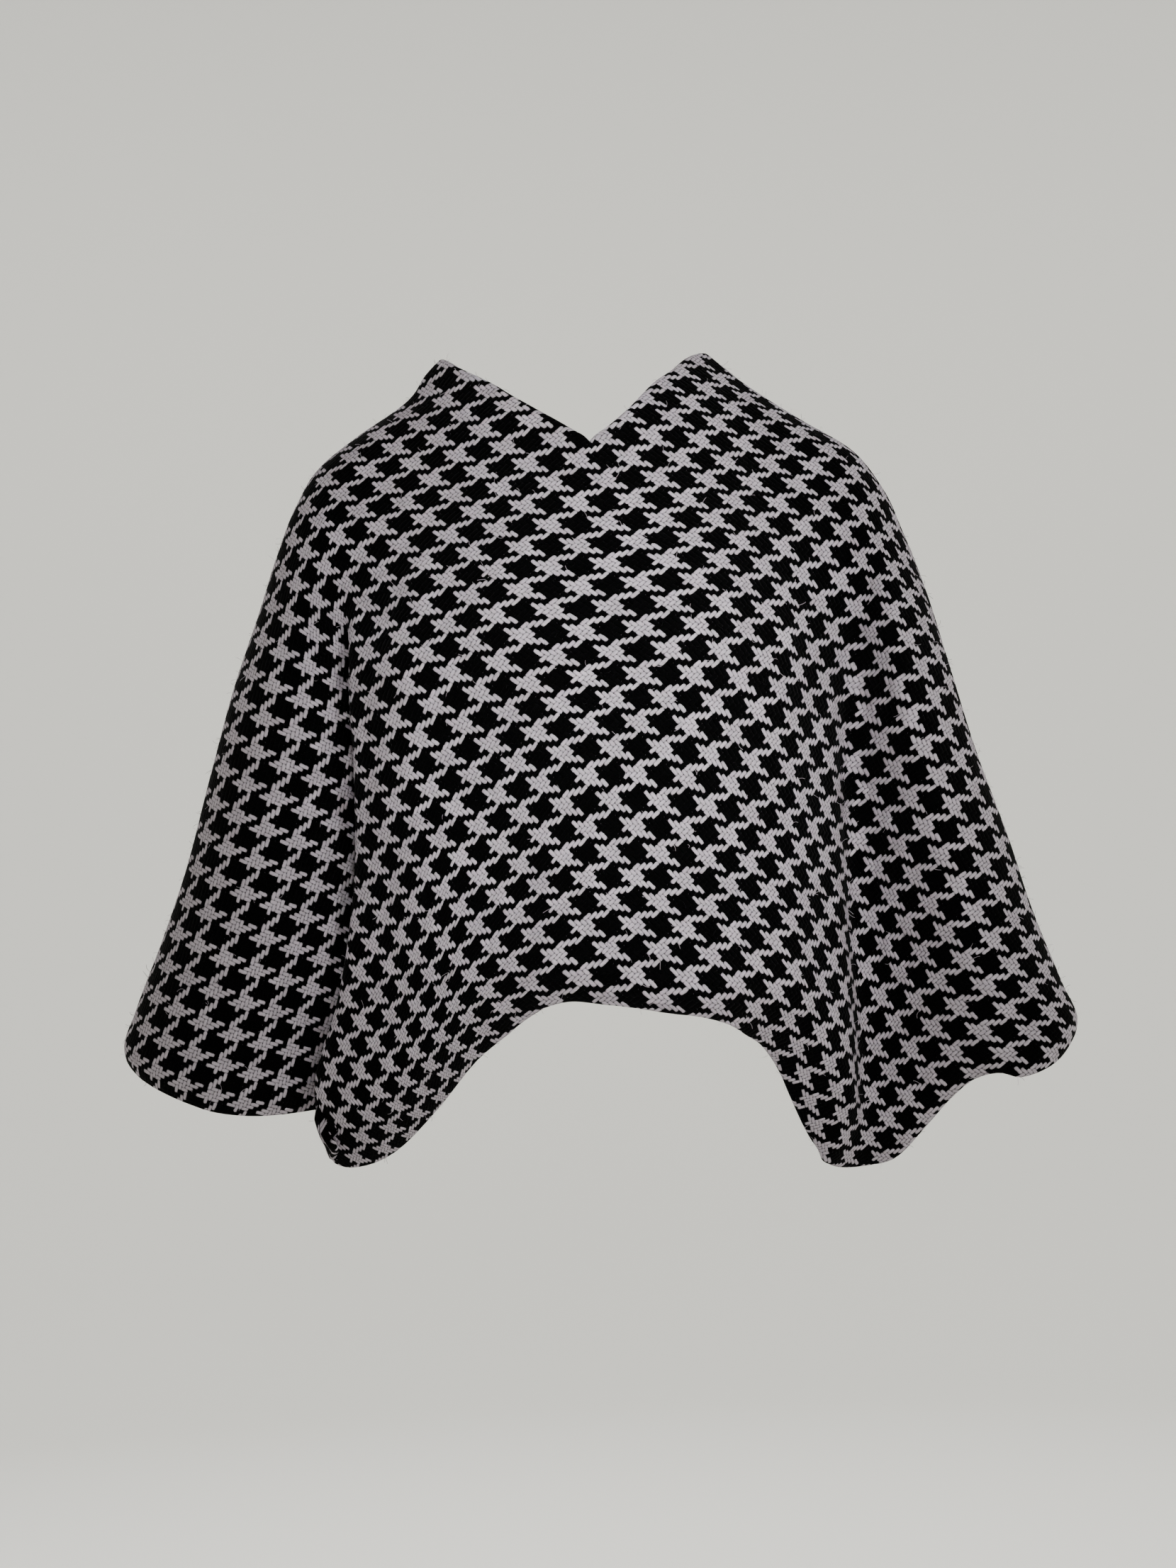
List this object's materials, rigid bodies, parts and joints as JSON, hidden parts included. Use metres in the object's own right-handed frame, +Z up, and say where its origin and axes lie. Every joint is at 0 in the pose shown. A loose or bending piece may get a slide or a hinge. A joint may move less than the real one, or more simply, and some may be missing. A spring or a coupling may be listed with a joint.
{
  "type": "poncho",
  "caption": "Hip-length poncho in thick checked wool, held in its worn form: V neck, cloth hanging over both arms, arched hem with a soft lobe beside the body on each side.",
  "frame": {"origin": "mid-way between the wearer's shoulders, at the height where the cloth rests on them, in the plane of the shoulder seams", "axes": "+Z up, +X to the wearer's left, -Y the way the wearer faces"},
  "size_m": [0.7012, 0.2524, 0.5987],
  "materials": {
    "front_wool": "woven wool in black and pale grey houndstooth, soft and matte",
    "back_wool": "woven wool in black and pale grey houndstooth, soft and matte"
  },
  "bodies": {
    "root": {"front": "front_wool", "back": "back_wool"}
  },
  "joints": []
}
